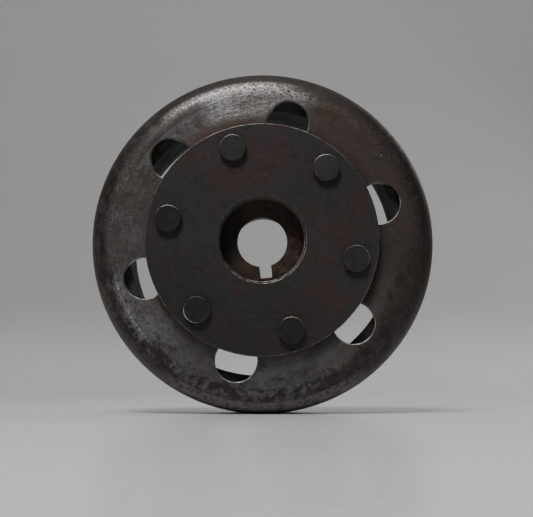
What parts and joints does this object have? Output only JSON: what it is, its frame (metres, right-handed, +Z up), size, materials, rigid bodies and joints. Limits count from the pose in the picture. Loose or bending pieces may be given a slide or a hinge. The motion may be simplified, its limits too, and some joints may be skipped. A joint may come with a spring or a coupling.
{
  "type": "flywheel magneto rotor",
  "caption": "Pressed steel magneto rotor cup with riveted flange hub, taper bore, puller thread and a lined ring of magnets.",
  "frame": {"origin": "centre of the bounding box, which is on the rotor's axis halfway between the rivet heads and the rear rim", "axes": "Upright, +Z up. The rotor's axis is Y: the riveted face looks towards -Y and the open, magnet side towards +Y."},
  "size_m": [0.11, 0.0442, 0.11],
  "materials": {
    "cup_steel": "satin",
    "hub_steel": "satin",
    "rivet_steel": "satin",
    "seat_metal": "matte",
    "ferrite": "matte",
    "spacer_plastic": "matte",
    "liner_steel": "satin"
  },
  "bodies": {
    "root": {"hub": "hub_steel", "magnet_1": "ferrite", "magnet_2": "ferrite", "magnet_3": "ferrite", "magnet_4": "ferrite", "magnet_5": "ferrite", "magnet_6": "ferrite", "magnet_cover": "liner_steel", "magnet_seat_ring": "seat_metal", "magnet_spacer_1": "spacer_plastic", "magnet_spacer_2": "spacer_plastic", "magnet_spacer_3": "spacer_plastic", "magnet_spacer_4": "spacer_plastic", "magnet_spacer_5": "spacer_plastic", "magnet_spacer_6": "spacer_plastic", "rivet_1": "rivet_steel", "rivet_2": "rivet_steel", "rivet_3": "rivet_steel", "rivet_4": "rivet_steel", "rivet_5": "rivet_steel", "rivet_6": "rivet_steel", "rotor_cup": "cup_steel"}
  },
  "joints": []
}
